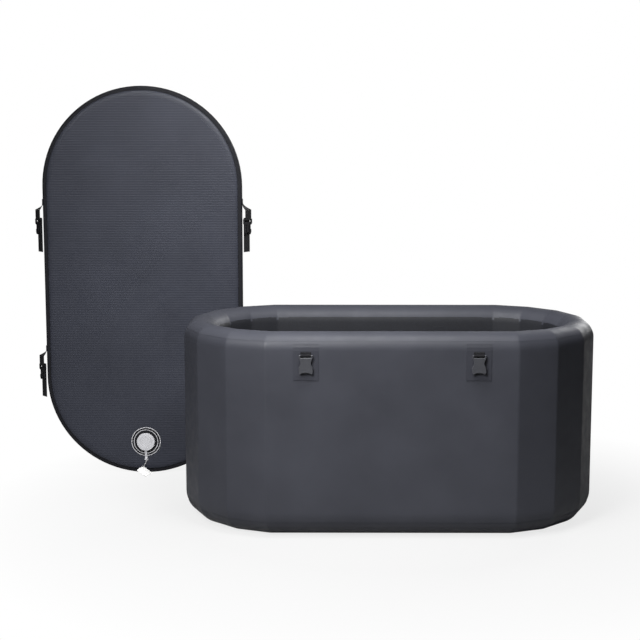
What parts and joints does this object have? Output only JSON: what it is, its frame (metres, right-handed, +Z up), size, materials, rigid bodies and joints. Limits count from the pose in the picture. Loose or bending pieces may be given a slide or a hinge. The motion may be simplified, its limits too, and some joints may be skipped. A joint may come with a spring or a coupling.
{
  "type": "cold plunge tub",
  "caption": "Oblong inflatable cold plunge tub with a rolled rim, side-release buckles, air valve and drain, beside its strapped inflatable lid standing on end",
  "frame": {"origin": "centre of the tub's flat underside, on the ground", "axes": "+Z up, +X along the tub's length to the right, -Y to the front; the lid stands on end behind the tub's left end"},
  "size_m": [2.1647, 1.0026, 1.585],
  "materials": {
    "wall_vinyl": "charcoal coated vinyl with a soft sheen",
    "tape_vinyl": "smooth welded vinyl tape",
    "inner_vinyl": "dark grained vinyl",
    "webbing": "black woven webbing",
    "black_plastic": "black moulded nylon",
    "grey_plastic": "light grey moulded plastic",
    "spring_steel": "bright spring wire",
    "black_rubber": "black rubber washer",
    "white_tag": "plain white card and cord"
  },
  "bodies": {
    "tub": {"wall_panel": "wall_vinyl", "rim_band": "wall_vinyl", "base_band": "tape_vinyl", "ground_sheet": "tape_vinyl", "floor_panel": "inner_vinyl", "floor_tape": "inner_vinyl", "inner_seam_left": "inner_vinyl", "inner_seam_right": "inner_vinyl", "outer_seam_strip": "tape_vinyl", "buckle_patch_front_left": "tape_vinyl", "buckle_patch_front_right": "tape_vinyl", "buckle_patch_rear_left": "tape_vinyl", "buckle_patch_rear_right": "tape_vinyl", "buckle_loop_front_left": "webbing", "buckle_loop_front_right": "webbing", "buckle_loop_rear_left": "webbing", "buckle_loop_rear_right": "webbing", "tub_valve_patch": "tape_vinyl", "tub_valve_body": "black_plastic", "tub_valve_nut": "black_plastic", "tub_valve_spring": "spring_steel", "tub_valve_anchor": "grey_plastic", "drain_pipe": "black_plastic", "drain_gasket": "black_rubber", "drain_nut": "black_plastic"},
    "socket_front_left": {"socket_buckle_front_left": "black_plastic"},
    "socket_front_right": {"socket_buckle_front_right": "black_plastic"},
    "socket_rear_left": {"socket_buckle_rear_left": "black_plastic"},
    "socket_rear_right": {"socket_buckle_rear_right": "black_plastic"},
    "tub_cap": {"tub_valve_cap": "grey_plastic"},
    "tub_poppet": {"tub_valve_poppet": "grey_plastic"},
    "drain_stopper": {"drain_cap": "black_plastic"},
    "lid": {"lid_panel": "wall_vinyl", "lid_edge_band": "tape_vinyl", "strap_root_upper_left": "webbing", "strap_root_upper_right": "webbing", "strap_root_lower_left": "webbing", "strap_root_lower_right": "webbing", "lid_valve_patch": "tape_vinyl", "lid_valve_body": "black_plastic", "lid_valve_nut": "black_plastic", "lid_valve_spring": "spring_steel", "lid_valve_anchor": "grey_plastic", "tag_cord": "white_tag", "tag": "white_tag"},
    "strap_upper_left": {"strap_webbing_upper_left": "webbing"},
    "strap_upper_right": {"strap_webbing_upper_right": "webbing"},
    "strap_lower_left": {"strap_webbing_lower_left": "webbing"},
    "strap_lower_right": {"strap_webbing_lower_right": "webbing"},
    "plug_upper_left": {"plug_buckle_upper_left": "black_plastic"},
    "plug_upper_right": {"plug_buckle_upper_right": "black_plastic"},
    "plug_lower_left": {"plug_buckle_lower_left": "black_plastic"},
    "plug_lower_right": {"plug_buckle_lower_right": "black_plastic"},
    "lid_cap": {"lid_valve_cap": "grey_plastic"},
    "lid_poppet": {"lid_valve_poppet": "grey_plastic"}
  },
  "joints": [
    {"name": "socket_flap_front_left", "type": "hinge", "parent": "tub", "child": "socket_front_left", "pos_m": [-0.3, -0.392, 0.659], "axis": [-1, 0, 0], "range_deg": [0, 105]},
    {"name": "socket_flap_front_right", "type": "hinge", "parent": "tub", "child": "socket_front_right", "pos_m": [0.3, -0.392, 0.659], "axis": [-1, 0, 0], "range_deg": [0, 105]},
    {"name": "socket_flap_rear_left", "type": "hinge", "parent": "tub", "child": "socket_rear_left", "pos_m": [-0.3, 0.392, 0.659], "axis": [1, 0, 0], "range_deg": [0, 105]},
    {"name": "socket_flap_rear_right", "type": "hinge", "parent": "tub", "child": "socket_rear_right", "pos_m": [0.3, 0.392, 0.659], "axis": [1, 0, 0], "range_deg": [0, 105]},
    {"name": "tub_cap_flip", "type": "hinge", "parent": "tub", "child": "tub_cap", "pos_m": [0.08, 0.3883, 0.536], "axis": [-1, 0, 0], "range_deg": [0, 120]},
    {"name": "tub_poppet_push", "type": "slide", "parent": "tub", "child": "tub_poppet", "axis": [0, -1, 0], "range_m": [0, 0.006], "stiffness_N_per_m": 400, "deforming": ["tub_valve_spring"]},
    {"name": "drain_cap_pull", "type": "slide", "parent": "tub", "child": "drain_stopper", "axis": [0, 1, 0], "range_m": [0, 0.04]},
    {"name": "lid_lift", "type": "slide", "parent": "tub", "child": "lid", "axis": [0, 0, 1], "range_m": [0, 0.6]},
    {"name": "strap_swing_upper_left", "type": "hinge", "parent": "lid", "child": "strap_upper_left", "pos_m": [-1.40061, 0.57049, 1.0885], "axis": [-0.6428, 0.766, 0], "range_deg": [0, 90]},
    {"name": "strap_swing_upper_right", "type": "hinge", "parent": "lid", "child": "strap_upper_right", "pos_m": [-0.54539, 0.57049, 1.0885], "axis": [-0.6428, -0.766, 0], "range_deg": [0, 90]},
    {"name": "strap_swing_lower_left", "type": "hinge", "parent": "lid", "child": "strap_lower_left", "pos_m": [-1.40061, 0.57049, 0.4885], "axis": [-0.6428, 0.766, 0], "range_deg": [0, 90]},
    {"name": "strap_swing_lower_right", "type": "hinge", "parent": "lid", "child": "strap_lower_right", "pos_m": [-0.54539, 0.57049, 0.4885], "axis": [-0.6428, -0.766, 0], "range_deg": [0, 90]},
    {"name": "plug_swing_upper_left", "type": "hinge", "parent": "strap_upper_left", "child": "plug_upper_left", "pos_m": [-1.39701, 0.57351, 1.0485], "axis": [-0.6428, 0.766, 0], "range_deg": [0, 100]},
    {"name": "plug_swing_upper_right", "type": "hinge", "parent": "strap_upper_right", "child": "plug_upper_right", "pos_m": [-0.54899, 0.57351, 1.0485], "axis": [-0.6428, -0.766, 0], "range_deg": [0, 100]},
    {"name": "plug_swing_lower_left", "type": "hinge", "parent": "strap_lower_left", "child": "plug_lower_left", "pos_m": [-1.39701, 0.57351, 0.4485], "axis": [-0.6428, 0.766, 0], "range_deg": [0, 100]},
    {"name": "plug_swing_lower_right", "type": "hinge", "parent": "strap_lower_right", "child": "plug_lower_right", "pos_m": [-0.54899, 0.57351, 0.4485], "axis": [-0.6428, -0.766, 0], "range_deg": [0, 100]},
    {"name": "lid_cap_flip", "type": "hinge", "parent": "lid", "child": "lid_cap", "pos_m": [-0.973, 0.5377, 0.07], "axis": [1, 0, 0], "range_deg": [0, 110]},
    {"name": "lid_poppet_push", "type": "slide", "parent": "lid", "child": "lid_poppet", "axis": [0, 1, 0], "range_m": [0, 0.006], "stiffness_N_per_m": 400, "deforming": ["lid_valve_spring"]}
  ]
}
